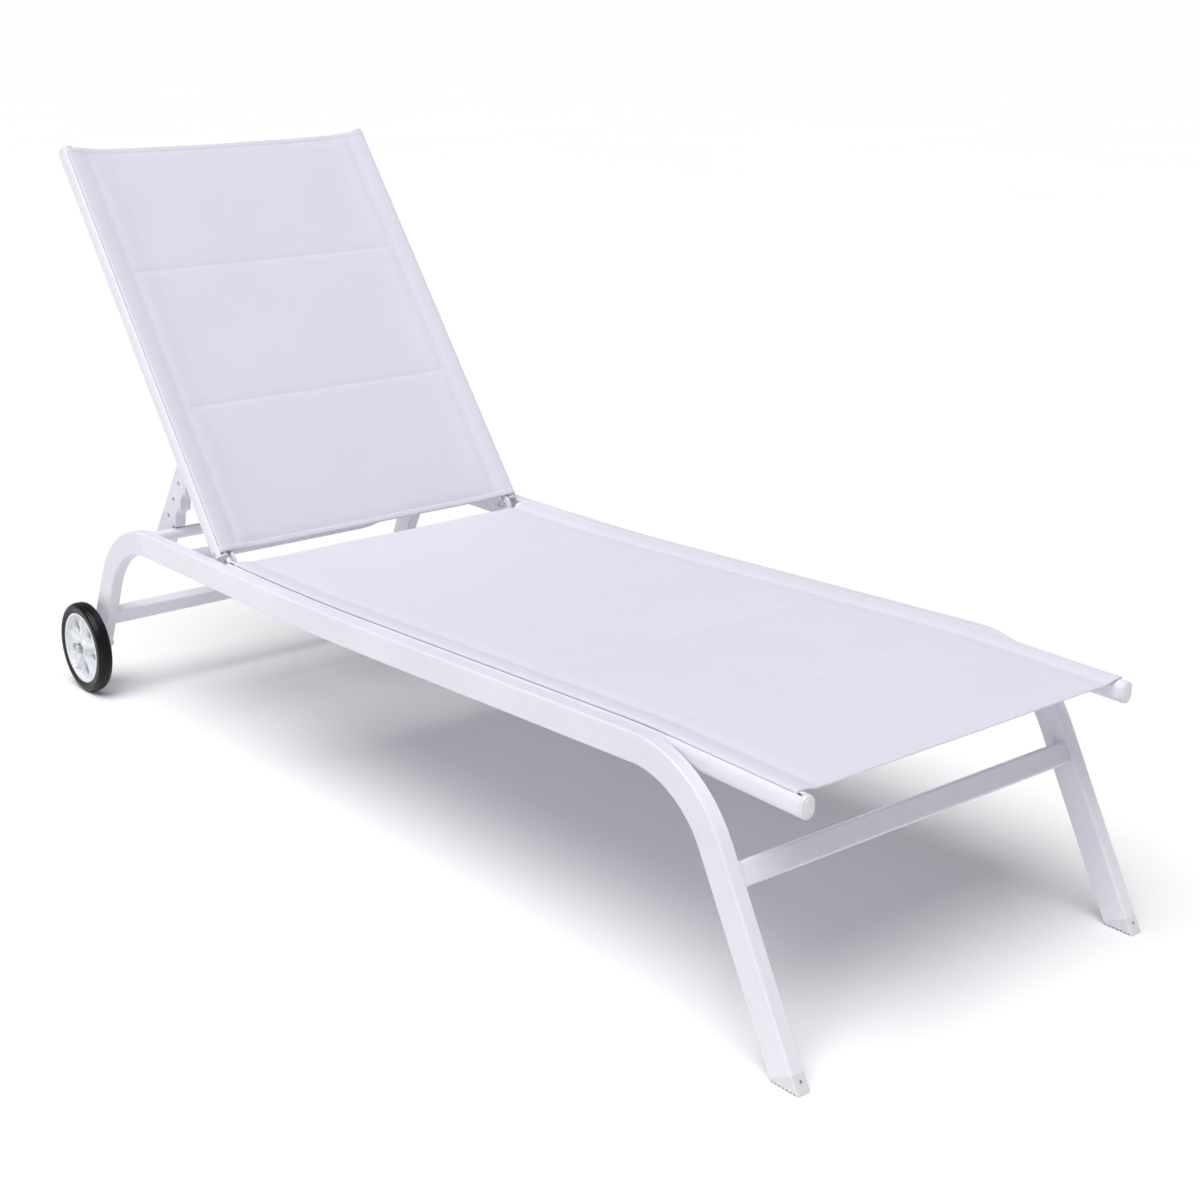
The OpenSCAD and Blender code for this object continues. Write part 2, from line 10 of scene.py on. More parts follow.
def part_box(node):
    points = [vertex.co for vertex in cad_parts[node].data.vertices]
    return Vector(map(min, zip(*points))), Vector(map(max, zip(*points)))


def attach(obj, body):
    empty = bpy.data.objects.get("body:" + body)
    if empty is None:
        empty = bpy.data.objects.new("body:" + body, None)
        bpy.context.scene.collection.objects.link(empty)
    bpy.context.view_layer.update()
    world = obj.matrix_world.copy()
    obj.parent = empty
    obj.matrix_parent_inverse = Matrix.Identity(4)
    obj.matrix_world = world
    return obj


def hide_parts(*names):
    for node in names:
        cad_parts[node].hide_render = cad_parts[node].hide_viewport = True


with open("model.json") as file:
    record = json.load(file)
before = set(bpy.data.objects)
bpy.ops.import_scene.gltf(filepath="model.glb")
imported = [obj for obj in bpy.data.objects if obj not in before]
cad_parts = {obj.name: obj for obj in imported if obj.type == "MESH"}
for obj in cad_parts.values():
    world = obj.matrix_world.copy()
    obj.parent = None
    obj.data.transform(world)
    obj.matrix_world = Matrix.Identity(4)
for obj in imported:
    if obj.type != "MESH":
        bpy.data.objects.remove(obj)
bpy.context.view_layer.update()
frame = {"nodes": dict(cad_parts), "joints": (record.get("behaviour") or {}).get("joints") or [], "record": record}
NODES = frame["nodes"]
SCENE = bpy.context.scene

# ---------------------------------------------------------------- the lounger's own lines, in metres
JOINT_AT = {j["name"]: Vector(j["pos_m"]) for j in frame["joints"]}
HINGE = JOINT_AT["backrest_hinge"]
BACK_ANGLE = math.radians(52.7)
RAIL_SLOPE = math.radians(2.2)
FRONT_LEAN = math.radians(27.5)
REAR_LEAN = math.radians(25.0)
SEAT_Z = 0.292           # seat rail centre line where it is level
FLAT_END = 0.120         # x from the hinge where it starts to rise
SWEEP_R = 7.8            # radius of that rise
CREST_X = 0.955          # x from the hinge where it starts to turn down
CREST_R = 1.2            # radius of that turn
DROOP = math.radians(1.0)
SEAT_REACH = 1.236       # front end of the seat rails and upper end of the backrest rails, from the hinge
BACK_LEN = 0.712
RAIL_W = 0.020           # width of the oval rails, and how much taller than wide they are
RAIL_TALLER = 0.008
CAP_T = 0.005
RAIL_Y = 0.269           # middle of the sling rails
RAIL_ARC = 0.004         # centre of the rail's round top above its centre line
WRAP_R = 0.0113          # middle of the cloth over the round top
WRAP_TURN = math.radians(23.6)
TUCK = 0.0035            # cloth that goes down into the slot
SLOT_UP = RAIL_ARC + WRAP_R
WRAP_END = RAIL_Y + WRAP_R * WRAP_TURN
CLOTH_EDGE = WRAP_END + TUCK
SEAM_Y = 0.240           # side seams of the padding
SEAT_S = (0.050, 1.2235)                    # ends and cross seams of each sling, from the hinge
SEAT_SEAMS = (0.278, 0.516, 0.754, 0.993)
BACK_S = (-0.003, 0.7060)
BACK_SEAMS = (0.238, 0.478)
HEM = 0.009              # depth of the end hems
INNER_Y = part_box("side_frame_left")[0].y    # inner face of the side frames
SIDES = ((-1, "right"), (1, "left"))

SWEEP_X = FLAT_END + SWEEP_R * math.sin(RAIL_SLOPE)
SWEEP_Z = SEAT_Z + SWEEP_R * (1 - math.cos(RAIL_SLOPE))
CREST_Z = SWEEP_Z + (CREST_X - SWEEP_X) * math.tan(RAIL_SLOPE)
NOSE_X = CREST_X + CREST_R * (math.sin(RAIL_SLOPE) + math.sin(DROOP))
NOSE_Z = CREST_Z + CREST_R * (math.cos(DROOP) - math.cos(RAIL_SLOPE))

# directions along and square to the backrest, and the same at the nose of the seat
BACK_ALONG = (-math.cos(BACK_ANGLE), 0.0, math.sin(BACK_ANGLE))
BACK_UP = (math.sin(BACK_ANGLE), 0.0, math.cos(BACK_ANGLE))
NOSE_ALONG = (math.cos(DROOP), 0.0, -math.sin(DROOP))
NOSE_UP = (math.sin(DROOP), 0.0, math.cos(DROOP))


def middle(node):
    """Centre of a CAD node's box at rest."""
    lo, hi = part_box(node)
    return (lo + hi) / 2


def seat_line(s):
    """Height and slope angle of the seat rail centre line, for an array of distances from the hinge."""
    s = np.asarray(s, float)
    z = np.full_like(s, SEAT_Z)
    a = np.zeros_like(s)
    m = s > FLAT_END
    z[m] = SEAT_Z + SWEEP_R * (1 - np.cos(np.arcsin((s[m] - FLAT_END) / SWEEP_R)))
    a[m] = np.arcsin((s[m] - FLAT_END) / SWEEP_R)
    m = s > SWEEP_X
    z[m] = SWEEP_Z + (s[m] - SWEEP_X) * math.tan(RAIL_SLOPE)
    a[m] = RAIL_SLOPE
    m = s > CREST_X
    a[m] = RAIL_SLOPE - (s[m] - CREST_X) / CREST_R
    z[m] = CREST_Z + CREST_R * (np.cos(a[m]) - math.cos(RAIL_SLOPE))
    m = s > NOSE_X
    z[m] = NOSE_Z - (s[m] - NOSE_X) * math.tan(DROOP)
    a[m] = -DROOP
    return z, a


def seat_surface(s, y, h):
    """World points on the seat: s along from the hinge, y across, h above the rail centre line."""
    z, a = seat_line(s)
    return np.stack([HINGE.x + s - h * np.sin(a), y, z + h * np.cos(a)], -1)


def back_surface(s, y, h):
    """World points on the backrest: s up from the hinge, y across, h above the rail centre line."""
    c, n = math.cos(BACK_ANGLE), math.sin(BACK_ANGLE)
    return np.stack([HINGE.x - s * c + h * n, y, HINGE.z + s * n + h * c], -1)


# ---------------------------------------------------------------- node material helpers
def shade(tint, k):
    """A colour made k times as bright, held below 1."""
    return tuple(min(1.0, c * k) for c in tint)


class Mat:
    """A small builder: one Principled surface and short calls for the nodes that feed it."""

    def __init__(self, name, color, rough, metallic=0.0, **sockets):
        self.m = bpy.data.materials.new(name)
        self.m.use_nodes = True
        self.t = self.m.node_tree
        self.b = self.t.nodes["Principled BSDF"]
        self.b.inputs["Base Color"].default_value = (*color, 1)
        self.b.inputs["Roughness"].default_value = rough
        self.b.inputs["Metallic"].default_value = metallic
        for k, v in sockets.items():
            self.b.inputs[k.replace("_", " ")].default_value = v
        self.m.diffuse_color = (*color, 1)
        self.normal = None

    def node(self, kind, **values):
        n = self.t.nodes.new(kind)
        for k, v in values.items():
            if hasattr(n, k):
                setattr(n, k, v)
        return n

    def link(self, a, b):
        self.t.links.new(a, b)

    def coord(self, which="Object"):
        return self.node("ShaderNodeTexCoord").outputs[which]

    def math(self, op, a, b=None, c=None, clamp=False):
        n = self.node("ShaderNodeMath", operation=op)
        n.use_clamp = clamp
        for i, v in enumerate((a, b, c)):
            if v is None:
                continue
            if hasattr(v, "links"):
                self.link(v, n.inputs[i])
            else:
                n.inputs[i].default_value = v
        return n.outputs[0]

    def noise(self, scale, detail=3.0, rough=0.55, stretch=None):
        n = self.node("ShaderNodeTexNoise")
        n.inputs["Scale"].default_value = scale
        n.inputs["Detail"].default_value = detail
        n.inputs["Roughness"].default_value = rough
        v = self.coord()
        if stretch:
            mp = self.node("ShaderNodeMapping")
            mp.inputs["Scale"].default_value = stretch
            self.link(v, mp.inputs["Vector"])
            v = mp.outputs[0]
        self.link(v, n.inputs["Vector"])
        return n.outputs["Fac"]

    def ramp(self, fac, stops):
        n = self.node("ShaderNodeValToRGB")
        e = n.color_ramp.elements
        while len(e) < len(stops):
            e.new(0.5)
        for el, (p, c) in zip(e, stops):
            el.position = p
            el.color = (*c, 1) if len(c) == 3 else c
        self.link(fac, n.inputs["Fac"])
        return n.outputs["Color"]

    def mix(self, fac, a, b):
        n = self.node("ShaderNodeMix", data_type="RGBA")
        for key, v in ((("Factor", "VALUE"), fac), (("A", "RGBA"), a), (("B", "RGBA"), b)):
            sock = next(s for s in n.inputs if (s.name, s.type) == key)
            if hasattr(v, "links"):
                self.link(v, sock)
            elif isinstance(v, (int, float)):
                sock.default_value = v
            else:
                sock.default_value = (*v, 1)
        return next(s for s in n.outputs if (s.name, s.type) == ("Result", "RGBA"))

    def color(self, socket):
        self.link(socket, self.b.inputs["Base Color"])

    def rough(self, fac, low, high):
        n = self.node("ShaderNodeMapRange")
        n.inputs["To Min"].default_value = low
        n.inputs["To Max"].default_value = high
        self.link(fac, n.inputs["Value"])
        self.link(n.outputs[0], self.b.inputs["Roughness"])

    def bump(self, height, strength, distance):
        n = self.node("ShaderNodeBump")
        n.inputs["Strength"].default_value = strength
        n.inputs["Distance"].default_value = distance
        self.link(height, n.inputs["Height"])
        if self.normal is not None:
            self.link(self.normal, n.inputs["Normal"])
        self.normal = n.outputs["Normal"]
        self.link(self.normal, self.b.inputs["Normal"])

    def painted_edge_highlight(self, base, edge, low=0.52, high=0.62):
        """Painted highlight on the edges: they show up to half of another, lighter tone, broken up by noise: from
        low to high pointiness.
        """
        g = self.node("ShaderNodeNewGeometry").outputs["Pointiness"]
        e = self.node("ShaderNodeMapRange")
        e.inputs["From Min"].default_value = low
        e.inputs["From Max"].default_value = high
        e.clamp = True
        self.link(g, e.inputs["Value"])
        spots = self.math("MULTIPLY", e.outputs[0], self.noise(90, 4))
        return self.mix(self.math("MULTIPLY", spots, 0.5, clamp=True), base, edge)


def powder_coat(name, tint, rough=0.36):
    """Satin powder coat: slow clouds of tone and a fine orange peel."""
    m = Mat(name, tint, rough, Coat_Weight=0.12, Coat_Roughness=0.25)
    base = m.ramp(m.noise(5.5, 4), [(0.3, shade(tint, 0.965)), (0.7, shade(tint, 1.02))])
    # painted highlight: the sharp edges of the coat are lighter
    m.color(m.painted_edge_highlight(base, (0.93, 0.93, 0.95)))
    m.rough(m.noise(34, 3), rough - 0.05, rough + 0.08)
    m.bump(m.noise(620, 2, 0.5), 0.10, 0.0004)      # orange peel of the powder
    m.bump(m.noise(2400, 1, 0.5), 0.05, 0.0002)
    return m.m


def moulded(name, tint, rough, grain=900, strength=0.12, coat=0.0):
    """Moulded plastic: a grain of so many cells a metre, and a clear coat where it shines."""
    m = Mat(name, tint, rough, Coat_Weight=coat, Coat_Roughness=0.2)
    base = m.ramp(m.noise(18, 4), [(0.32, shade(tint, 0.955)), (0.7, shade(tint, 1.02))])
    # painted highlight: the sharp edges of the plastic are lighter
    m.color(m.painted_edge_highlight(base, shade(tint, 1.08)))
    m.rough(m.noise(60, 3), rough - 0.06, rough + 0.07)
    m.bump(m.noise(grain, 2), strength, 0.0003)
    return m.m


def weave_height(m, u, v, pitch):
    """Plain weave of round yarns: height of the cloth from two coordinates in metres."""
    k = 2 * math.pi / pitch
    su = m.math("SINE", m.math("MULTIPLY", u, k))
    sv = m.math("SINE", m.math("MULTIPLY", v, k))
    over = m.math("MULTIPLY", su, sv)
    yarn = m.math("MULTIPLY", m.math("ABSOLUTE", su), m.math("ABSOLUTE", sv))
    return m.math("ADD", m.math("MULTIPLY", over, 0.35), m.math("MULTIPLY", yarn, 0.65))


YARN_PITCH = 0.0021
STITCH_HALF = 0.0005     # half the width of a stitch
STITCH_STEP = 0.0042
STITCH_SHARE = 0.72      # share of each step that is thread


def stitch_row(m, across, at, along):
    """1 on the dashes of a row of stitches that runs where across is at, else 0."""
    off = m.math("ABSOLUTE", m.math("SUBTRACT", across, at))
    step = m.math("FRACT", m.math("DIVIDE", along, STITCH_STEP))
    return m.math("MULTIPLY", m.math("LESS_THAN", off, STITCH_HALF), m.math("LESS_THAN", step, STITCH_SHARE))


def textilene(name, tint, seams, ends):
    """Woven mesh cloth with rows of stitching. UVs are metres: U across, V along."""
    m = Mat(name, tint, 0.62, Sheen_Weight=0.12, Sheen_Roughness=0.5, Specular_IOR_Level=0.32)
    uv = m.node("ShaderNodeSeparateXYZ")
    m.link(m.coord("UV"), uv.inputs[0])
    u, v = uv.outputs[0], uv.outputs[1]
    weave = weave_height(m, u, v, YARN_PITCH)
    cloud = m.noise(7, 5)
    slub = m.noise(30, 3, stretch=(1, 14, 1))
    tone = m.math("ADD", m.math("MULTIPLY", cloud, 0.6), m.math("MULTIPLY", slub, 0.4))
    base = m.ramp(tone, [(0.3, shade(tint, 0.965)), (0.7, shade(tint, 1.015))])
    # painted shade: the hollows between the yarns are darker
    hollow_shade = m.ramp(weave, [(0.02, shade(tint, 0.80)), (0.3, tint)])
    base = m.mix(0.35, base, hollow_shade)
    # stitching: rows along the side seams, across the panels and along the end hems
    rows = m.math("MAXIMUM", stitch_row(m, u, -SEAM_Y, v), stitch_row(m, u, SEAM_Y, v))
    between_seams = m.math("LESS_THAN", m.math("ABSOLUTE", u), SEAM_Y)
    for at in seams:
        rows = m.math("MAXIMUM", rows, m.math("MULTIPLY", stitch_row(m, v, at, u), between_seams))
    for at in ends:
        rows = m.math("MAXIMUM", rows, stitch_row(m, v, at, u))
    m.color(m.mix(m.math("MULTIPLY", rows, 0.8), base, shade(tint, 1.12)))
    m.bump(weave, 0.30, 0.0003)
    m.bump(rows, 0.5, 0.0004)
    m.bump(m.noise(55, 4), 0.12, 0.0012)
    return m.m


def rubber(name):
    """Clean black rubber with a trace of dust."""
    m = Mat(name, (0.006, 0.006, 0.008), 0.3, Specular_IOR_Level=0.22)
    dust = m.noise(45, 5)
    m.color(m.ramp(dust, [(0.35, (0.0035, 0.0035, 0.005)), (0.75, (0.010, 0.010, 0.012))]))
    m.rough(m.noise(70, 3), 0.20, 0.38)
    m.bump(m.noise(1400, 2), 0.08, 0.0002)
    return m.m


def steel(name):
    """Zinc plated steel, a little uneven."""
    m = Mat(name, (0.60, 0.61, 0.64), 0.3, metallic=1.0)
    m.color(m.ramp(m.noise(120, 4), [(0.3, (0.50, 0.51, 0.54)), (0.7, (0.68, 0.69, 0.72))]))
    m.rough(m.noise(300, 3, stretch=(1, 1, 8)), 0.22, 0.40)
    m.bump(m.noise(1800, 2), 0.08, 0.0001)
    return m.m


WHITE = (0.752, 0.750, 0.832)
CLOTH = (0.745, 0.738, 0.838)
MATS = {
    "white_powder_coat": powder_coat("powder_coat_white", WHITE),
    "sling_edge_cord": textilene("hem_cloth", shade(CLOTH, 0.93), (), ()),
    "white_plastic": moulded("cap_plastic", (0.75, 0.75, 0.79), 0.42),
    "foot_plastic": moulded("foot_plastic", (0.70, 0.70, 0.74), 0.5, 700, 0.2),
    "wheel_plastic": moulded("wheel_plastic", (0.78, 0.80, 0.84), 0.28, 1100, 0.06, 0.3),
    "tyre_rubber": rubber("tyre_rubber"),
    "bright_steel": steel("zinc_steel"),
}
SEAT_CLOTH = textilene("sling_seat_cloth", CLOTH, SEAT_SEAMS, (SEAT_S[0] + HEM, SEAT_S[1] - HEM))
BACK_CLOTH = textilene("sling_back_cloth", CLOTH, BACK_SEAMS, (BACK_S[0] + HEM, BACK_S[1] - HEM))
MATS["sling_cloth"] = SEAT_CLOTH

SLOT_OF = {p["node"]: p["material_slot"] for p in frame["record"]["subparts"]}
for name, o in NODES.items():
    o.data.materials.clear()
    o.data.materials.append(MATS[SLOT_OF[name]])


# ---------------------------------------------------------------- mesh helpers
def new_mesh(name, verts, faces, material, smooth=True, uv=None):
    """A mesh object in the scene, with one pair of UVs for each vertex if they are given."""
    me = bpy.data.meshes.new(name)
    me.from_pydata([tuple(v) for v in verts], [], [tuple(f) for f in faces])
    me.update()
    me.materials.append(material)
    if smooth:
        me.shade_smooth()
    if uv is not None:
        layer = me.uv_layers.new(name="metres")
        loops = np.empty(len(me.loops), np.int32)
        me.loops.foreach_get("vertex_index", loops)
        layer.data.foreach_set("uv", np.asarray(uv, np.float32)[loops].ravel())
    o = bpy.data.objects.new(name, me)
    SCENE.collection.objects.link(o)
    return o


def grid_faces(n, m, start=0, flip=False):
    """Quads of an n by m grid of vertices that begins at vertex start."""
    i, j = np.meshgrid(np.arange(n - 1), np.arange(m - 1), indexing="ij")
    a = start + i * m + j
    q = np.stack([a, a + 1, a + m + 1, a + m], -1).reshape(-1, 4)
    return q[:, ::-1] if flip else q


TRIAL_STEP = 0.012       # spacing of the trial cloth along the rails
TRIAL_ACROSS = 45        # its points across
TRIAL_FRAMES = 26
TRIAL_HELD = 0.004       # width it is held by at each rail


def simulate_cloth(surface, s_range, cap):
    """Hangs the cloth between its rails with Blender's Cloth. Gives an s by y grid and each point's rise.

    The rise is negative where the cloth sinks, and cap is the most that it may sink. The trial hangs
    deeper than the real cloth, which is drawn tight, so cap sets the depth over most of the sling.
    """
    s = np.linspace(s_range[0], s_range[1], int((s_range[1] - s_range[0]) / TRIAL_STEP) + 1)
    y = np.linspace(-RAIL_Y, RAIL_Y, TRIAL_ACROSS)
    S, Y = np.meshgrid(s, y, indexing="ij")
    P = surface(S, Y, np.full_like(S, SLOT_UP))
    o = new_mesh("cloth_trial", P.reshape(-1, 3), grid_faces(*S.shape), SEAT_CLOTH)
    pins = o.vertex_groups.new(name="held")
    held = np.nonzero((np.abs(Y) >= RAIL_Y - TRIAL_HELD).ravel())[0]
    pins.add([int(i) for i in held], 1.0, "REPLACE")
    c = o.modifiers.new("Cloth", "CLOTH")
    c.settings.quality = 8
    c.settings.mass = 0.12
    c.settings.tension_stiffness = 40
    c.settings.compression_stiffness = 40
    c.settings.shear_stiffness = 12
    c.settings.bending_stiffness = 1.5
    c.settings.air_damping = 4
    c.settings.vertex_group_mass = "held"
    c.collision_settings.use_collision = False
    c.collision_settings.use_self_collision = False
    c.point_cache.frame_start = 1
    c.point_cache.frame_end = TRIAL_FRAMES
    for f in range(1, TRIAL_FRAMES + 1):
        SCENE.frame_set(f)
    dg = bpy.context.evaluated_depsgraph_get()
    me = o.evaluated_get(dg).to_mesh()
    Q = np.empty(len(me.vertices) * 3, np.float32)
    me.vertices.foreach_get("co", Q)
    Q = Q.reshape(P.shape)
    o.evaluated_get(dg).to_mesh_clear()
    up = surface(S, Y, np.full_like(S, SLOT_UP + 1.0)) - P
    rise = ((Q - P) * up).sum(-1)
    bpy.data.objects.remove(o)
    SCENE.frame_set(1)
    return s, y, np.clip(rise, -cap, 0.002)


def sample_grid(s, y, values, S, Y):
    """Values of an even s by y grid at other points, straight lines between its points."""
    fs = np.clip((S - s[0]) / (s[1] - s[0]), 0, len(s) - 1.001)
    fy = np.clip((Y - y[0]) / (y[1] - y[0]), 0, len(y) - 1.001)
    i, j = fs.astype(int), fy.astype(int)
    a, b = fs - i, fy - j
    return ((1 - a) * (1 - b) * values[i, j] + a * (1 - b) * values[i + 1, j]
            + (1 - a) * b * values[i, j + 1] + a * b * values[i + 1, j + 1])


def wobble(S, Y, seed, fine, amount):
    """Smooth seeded unevenness made of a few waves."""
    rng = np.random.default_rng(seed)
    out = np.zeros_like(S)
    waves = 9
    for _ in range(waves):
        k = rng.uniform(0.5, 1.6, 2) * fine * rng.choice([-1, 1], 2)
        out += np.sin(k[0] * S + k[1] * Y + rng.uniform(0, 6.28))
    return out / waves * amount


AT_SEAM = (-0.003, -0.0012, 0.0, 0.0012, 0.003)          # grid lines that every seam keeps
BY_SEAM = (-0.012, -0.008, -0.005, *AT_SEAM, 0.005, 0.008, 0.012)
GRID_STEP = 0.006        # spacing of the grid lines elsewhere
GRID_LEAST = 0.0009      # closest that two grid lines come


def spaced(lo, hi, marks):
    """Grid lines from lo to hi that are closer together by the seams."""
    pts = set(np.round(np.linspace(lo, hi, int((hi - lo) / GRID_STEP) + 1), 5))
    pts.update(round(m + d, 5) for m in marks for d in BY_SEAM if lo < m + d < hi)
    pts = sorted(pts)
    fixed = {round(m + d, 5) for m in marks for d in AT_SEAM}
    keep = [pts[0]]
    for p in pts[1:]:
        if p - keep[-1] >= GRID_LEAST:
            keep.append(p)
        elif p in fixed:
            keep[-1] = p
    keep[-1] = hi
    return np.array(keep)


def cloth_profile(u):
    """Place (y, h) and normal (y, h) of the cloth's middle at u: over the rails and down the slots."""
    a, side = np.abs(u), np.sign(u)
    turn = np.clip((a - RAIL_Y) / WRAP_R, 0, WRAP_TURN)
    down = np.clip(a - WRAP_END, 0, TUCK)
    r = WRAP_R - down
    y = np.minimum(a, RAIL_Y) + r * np.sin(turn)
    h = RAIL_ARC + r * np.cos(turn)
    lean = turn + np.clip(down / 0.002, 0, 1) * math.pi / 2
    return side * y, h, side * np.sin(lean), np.cos(lean)


def quilted_sling(name, node, body, surface, s_range, seams, cap, material, seed, end_curve=0.0):
    """Padded cloth in panels, from slot to slot: a closed skin round a middle surface that sags up to cap."""
    ends = (s_range[0] + HEM, s_range[1] - HEM)
    s = spaced(s_range[0], s_range[1], list(seams) + list(ends))
    wrap = [RAIL_Y + 0.0012 * k for k in range(7)]
    y = spaced(-CLOTH_EDGE, CLOTH_EDGE, [-SEAM_Y, SEAM_Y])
    y = np.array(sorted([v for v in y if abs(v) < RAIL_Y - 0.001] + wrap + [-v for v in wrap]))
    S, Y = np.meshgrid(s, y, indexing="ij")
    free = np.clip((RAIL_Y - 0.003 - np.abs(Y)) / 0.02, 0, 1)       # 0 on the rails, 1 between them
    mid = sample_grid(*simulate_cloth(surface, s_range, cap), S, Y) * free
    # padding: full inside each panel, drawn in along its stitching
    inside = np.clip((SEAM_Y - np.abs(Y)) / 0.020, 0, 1)
    d_end = np.clip(np.minimum(S - ends[0], ends[1] - S) / 0.022, 0, 1)
    full = (1 - (1 - inside) ** 2.2) * (1 - (1 - d_end) ** 2.2)
    for at in seams:
        d = np.abs(S - at)
        full *= np.where(np.abs(Y) < SEAM_Y, 1 - 0.80 * np.exp(-(d / 0.0055) ** 1.2), 1)
    half = 0.0011 + 0.0015 * full
    half = half * (0.62 + 0.38 * np.clip((CLOTH_EDGE - np.abs(Y)) / 0.012, 0, 1))
    half = np.where(np.abs(Y) > RAIL_Y - 0.001, 0.00115, half)
    # puckers that run out from the seams, and slow unevenness of the padding
    for at in list(seams) + list(ends):
        mid += np.exp(-np.abs(S - at) / 0.014) * wobble(S * 0.3, Y, seed + int(at * 1000), 210, 0.0005) * free
    mid += np.exp(-np.abs(np.abs(Y) - SEAM_Y) / 0.013) * wobble(S, Y * 0.3, seed + 7, 190, 0.0006) * free
    mid += wobble(S, Y, seed + 3, 22, 0.0009) * free * np.clip((RAIL_Y - np.abs(Y)) / 0.05, 0, 1)
    # end hems are folded over and a little thicker
    hem = ((S < ends[0]) | (S > ends[1])) * 0.0006
    rim = np.clip(np.minimum(S - s_range[0], s_range[1] - S) / 0.0016, 0, 1)
    half = (half + hem) * (0.45 + 0.55 * np.sqrt(rim))
    # the free end is cut in a shallow curve
    bow = 1 - np.clip(np.abs(Y) / RAIL_Y, 0, 1) ** 2
    near_end = np.clip((S - s_range[1] + 0.2) / 0.2, 0, 1)
    S = S - end_curve * bow * near_end ** 2
    py, ph, ny, nh = cloth_profile(Y)
    top = surface(S, py + half * ny, ph + mid + half * nh)
    low = surface(S, py - half * ny, ph + mid - half * nh)
    n, m = S.shape
    verts = np.concatenate([top.reshape(-1, 3), low.reshape(-1, 3)])
    faces = [grid_faces(n, m, 0, True), grid_faces(n, m, n * m)]
    ring = ([i * m for i in range(n)] + [(n - 1) * m + j for j in range(1, m)]
            + [i * m + m - 1 for i in range(n - 2, -1, -1)] + [j for j in range(m - 2, 0, -1)])
    ring = np.array(ring)      # the grid's border, all the way round
    nxt = np.roll(ring, -1)
    faces.append(np.stack([ring, nxt, nxt + n * m, ring + n * m], -1)[:, ::-1])
    uv = np.stack([Y, S], -1).reshape(-1, 2)
    o = new_mesh(name, verts, np.concatenate(faces), material, uv=np.concatenate([uv, uv]))
    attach(o, body)
    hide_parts(node)


quilted_sling("seat_cloth", "seat_sling", "frame", seat_surface, SEAT_S, SEAT_SEAMS,
              cap=0.0035, material=SEAT_CLOTH, seed=11)
quilted_sling("back_cloth", "back_sling", "backrest", back_surface, BACK_S, BACK_SEAMS,
              cap=0.007, material=BACK_CLOTH, seed=29, end_curve=0.005)


# ---------------------------------------------------------------- small shaped pieces
def finish_piece(o, body, slot, *stands_for):
    """Ties a piece to its body and hides the CAD node it stands for, if any. The material slot is not used."""
    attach(o, body)
    if stands_for:
        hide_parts(*stands_for)
    return o


def oval_loop(w, h, n=48):
    """Outline of an upright oval: across and up."""
    t = (np.arange(n) + 0.5) * 2 * math.pi / n
    return np.stack([w / 2 * np.cos(t), w / 2 * np.sin(t) + (h - w) / 2 * np.sign(np.sin(t))], -1)


def rect_loop(w, h, r, n=10):
    """Outline of a rectangle with corners of radius r, n points to a corner."""
    pts = []
    for cx, cy, a0 in ((1, 1, 0), (-1, 1, 90), (-1, -1, 180), (1, -1, 270)):
        for k in range(n):
            a = math.radians(a0 + 90 * k / (n - 1))
            pts.append((cx * (w / 2 - r) + r * math.cos(a), cy * (h / 2 - r) + r * math.sin(a)))
    return np.array(pts)


def stacked(name, loops, material):
    """Skin through a row of closed loops with the same number of points, closed at both ends."""
    k, n = len(loops), len(loops[0])
    f = []
    for i in range(k - 1):
        for j in range(n):
            a, b = i * n + j, i * n + (j + 1) % n
            f.append((a, b, b + n, a + n))
    v = np.concatenate([*loops, [np.mean(loops[0], 0)], [np.mean(loops[-1], 0)]])
    for j in range(n):
        f.append((j, k * n, (j + 1) % n))
        f.append(((k - 1) * n + j, (k - 1) * n + (j + 1) % n, k * n + 1))
    return new_mesh(name, v, f, material)


# how far each loop of a cap is inside the rail's outline, and how far out from the rail's end
CAP_STEPS = ((0.0002, -0.0045), (0.0001, 0.0), (0.0, 0.0004), (0.0, 0.0034), (0.0004, 0.0043),
             (0.0012, 0.0049), (0.0020, 0.0050), (0.0023, 0.0047), (0.0026, 0.0050), (0.0030, 0.0057),
             (0.0038, 0.0061), (0.0055, 0.0063), (0.0080, 0.0064))
SKIRT_IN = 0.0022        # wall of the rail that the skirt fits inside


def end_cap(name, origin, along, up, body, node):
    """Moulded oval cap: skirt, rounded lip, a fine step and a low crowned face."""
    origin, along, up = (np.array(v) for v in (origin, along, up))
    side = np.array([0.0, 1.0, 0.0])
    loops = []
    for inset, out in CAP_STEPS:
        shrink = SKIRT_IN if out < 0 else 0.0
        w = RAIL_W - 2 * (inset + shrink)
        lp = oval_loop(w, w + RAIL_TALLER)
        loops.append(origin + out * along + lp[:, :1] * side + lp[:, 1:] * up)
    finish_piece(stacked(name, loops, MATS["white_plastic"]), body, "white_plastic", node)


BEAD_STEP = 0.0011       # length of a bead's facets
BEAD_SIDES = 8
RIPPLE = 0.0026          # length of a bead's ripples, and of its slower swell
SWELL = 0.021


